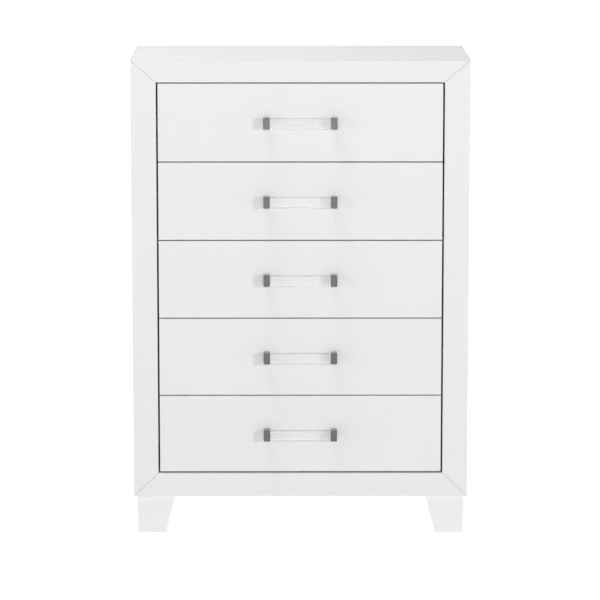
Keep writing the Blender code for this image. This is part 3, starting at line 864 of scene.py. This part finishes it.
def dark_nickel(name, light, dark):
    """Brushed dark nickel: grey metal with upright brush lines. Rims painted darker: a painted darker
    reflection.
    Real lines are 0.2 mm apart. They are drawn at 0.8 mm, the finest that shows."""
    made, tree, shader = new_material(name)
    place = add_node(tree, "ShaderNodeTexCoord").outputs["Object"]
    brushed = add_node(tree, "ShaderNodeMapping", inputs={"Vector": place, "Scale": (1250, 1250, 60)})
    lines = {"Vector": brushed.outputs[0], "Scale": 1.0, "Detail": 2.0, "Roughness": 0.5}
    lines = add_node(tree, "ShaderNodeTexNoise", inputs=lines)
    tint = {0: lines.outputs["Fac"], 6: linear(dark), 7: linear(light)}
    tint = add_node(tree, "ShaderNodeMix", {"data_type": "RGBA"}, tint)
    rounded = add_node(tree, "ShaderNodeBevel", {"samples": 6}, {"Radius": POST_RIM})
    flat = add_node(tree, "ShaderNodeNewGeometry").outputs["Normal"]
    level = {0: rounded.outputs[0], 1: flat}
    level = add_node(tree, "ShaderNodeVectorMath", {"operation": "DOT_PRODUCT"}, level)
    rim = {"Value": level.outputs["Value"], "From Min": 1.0, "From Max": 0.9, "To Max": 0.5}
    rim = add_node(tree, "ShaderNodeMapRange", inputs=rim)
    # Painted reflection: the rounded rims get a darker colour, as if they mirrored the dim room.
    rim_painted_shade = {0: rim.outputs["Result"], 6: tint.outputs[2], 7: linear("#4A4A4C")}
    rim_painted_shade = add_node(tree, "ShaderNodeMix", {"data_type": "RGBA"}, rim_painted_shade)
    rub = {"Value": lines.outputs["Fac"], "To Min": 0.16, "To Max": 0.30}
    rub = add_node(tree, "ShaderNodeMapRange", inputs=rub)
    relief = {"Height": lines.outputs["Fac"], "Strength": 0.2, "Distance": 0.0002}
    relief = add_node(tree, "ShaderNodeBump", inputs=relief)
    shader.inputs["Metallic"].default_value = 1.0
    tree.links.new(rim_painted_shade.outputs[2], shader.inputs["Base Color"])
    tree.links.new(rub.outputs["Result"], shader.inputs["Roughness"])
    tree.links.new(relief.outputs["Normal"], shader.inputs["Normal"])
    return made


def clear_acrylic(name, middle, pitch, half_height):
    """Cast acrylic: clear as glass but lighter in gloss, with very fine wiping scratches along the bar.
    The grey of the polished top and bottom edges is painted shade.
    The glow along the lower edge, of light that runs down inside the sheet, is a painted highlight.
    Light from the lamps passes straight through, so that what lies behind the bar stays bright.
    The pattern repeats at the pitch of the bars: middle is the height of one bar's middle."""
    made, tree, shader = new_material(name)
    place = add_node(tree, "ShaderNodeTexCoord").outputs["Object"]
    wiped = add_node(tree, "ShaderNodeMapping", inputs={"Vector": place, "Scale": (40, 900, 900)})
    scratch = {"Vector": wiped.outputs[0], "Scale": 1.0, "Detail": 2.0}
    scratch = add_node(tree, "ShaderNodeTexNoise", inputs=scratch)
    rub = {"Value": scratch.outputs["Fac"], "To Min": 0.0, "To Max": 0.05}
    rub = add_node(tree, "ShaderNodeMapRange", inputs=rub)
    height = add_node(tree, "ShaderNodeSeparateXYZ", inputs={0: place}).outputs[2]
    rise = add_node(tree, "ShaderNodeMath", {"operation": "SUBTRACT"}, {0: height, 1: middle})
    rise = {0: rise.outputs[0], 1: pitch / 2, 2: -pitch / 2}
    rise = add_node(tree, "ShaderNodeMath", {"operation": "WRAP"}, rise).outputs[0]
    # Painted shade: a grey tint along the top and bottom edges of each bar.
    upper = {"Value": rise, "From Min": half_height - BAR_PAINTED_SHADE_EDGE, "From Max": half_height}
    upper = add_node(tree, "ShaderNodeMapRange", inputs=upper)
    painted_shade_top = BAR_PAINTED_SHADE_EDGE - half_height
    lower = {"Value": rise, "From Min": painted_shade_top, "From Max": painted_shade_top - BAR_PAINTED_SHADE_FADE, "To Max": 0.6}
    lower = add_node(tree, "ShaderNodeMapRange", inputs=lower)
    grey = {0: upper.outputs["Result"], 1: lower.outputs["Result"]}
    grey = add_node(tree, "ShaderNodeMath", {"operation": "MAXIMUM"}, grey)
    tint = {0: grey.outputs[0], 6: linear("#FFFFFF"), 7: linear("#A8ABAB")}
    tint = add_node(tree, "ShaderNodeMix", {"data_type": "RGBA"}, tint)
    tree.links.new(tint.outputs[2], shader.inputs["Base Color"])
    # Painted highlight: above the lower edge the bar lets less light through and shows its white colour.
    painted_glow_top = BAR_PAINTED_GLOW_EDGE - half_height
    painted_glint = {"Value": rise, "From Min": painted_glow_top, "From Max": painted_glow_top - BAR_PAINTED_GLOW_FADE}
    painted_glint.update({"To Min": 1.0, "To Max": 0.6})
    painted_glint = add_node(tree, "ShaderNodeMapRange", inputs=painted_glint)
    clear = {0: painted_glint.outputs["Result"], 1: lower.outputs["Result"]}
    clear = add_node(tree, "ShaderNodeMath", {"operation": "MAXIMUM"}, clear)
    tree.links.new(clear.outputs[0], shader.inputs["Transmission Weight"])
    shader.inputs["IOR"].default_value = 1.49
    tree.links.new(rub.outputs["Result"], shader.inputs["Roughness"])
    path = add_node(tree, "ShaderNodeLightPath")
    lamp = {0: path.outputs["Is Shadow Ray"], 1: path.outputs["Is Diffuse Ray"]}
    lamp = add_node(tree, "ShaderNodeMath", {"operation": "MAXIMUM"}, lamp)
    through = add_node(tree, "ShaderNodeBsdfTransparent", inputs={"Color": linear("#FFFFFF")})
    both = {0: lamp.outputs[0], 1: shader.outputs[0], 2: through.outputs[0]}
    both = add_node(tree, "ShaderNodeMixShader", inputs=both)
    tree.links.new(both.outputs[0], tree.nodes["Material Output"].inputs["Surface"])
    return made


nickel = dark_nickel("brushed_dark_nickel", "#8C8B8A", "#7D7C7B")
bar_low, bar_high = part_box("drawer_5_handle_bar")
bar_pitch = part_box("drawer_4_handle_bar")[0].z - bar_low.z
acrylic = clear_acrylic(
    "clear_cast_acrylic", (bar_low.z + bar_high.z) / 2, bar_pitch, (bar_high.z - bar_low.z) / 2
)
for number in DRAWERS:
    paint_node(f"drawer_{number}_handle_bar", acrylic)
    for hand, _ in HANDS:
        paint_node(f"drawer_{number}_handle_post_{hand}", nickel)
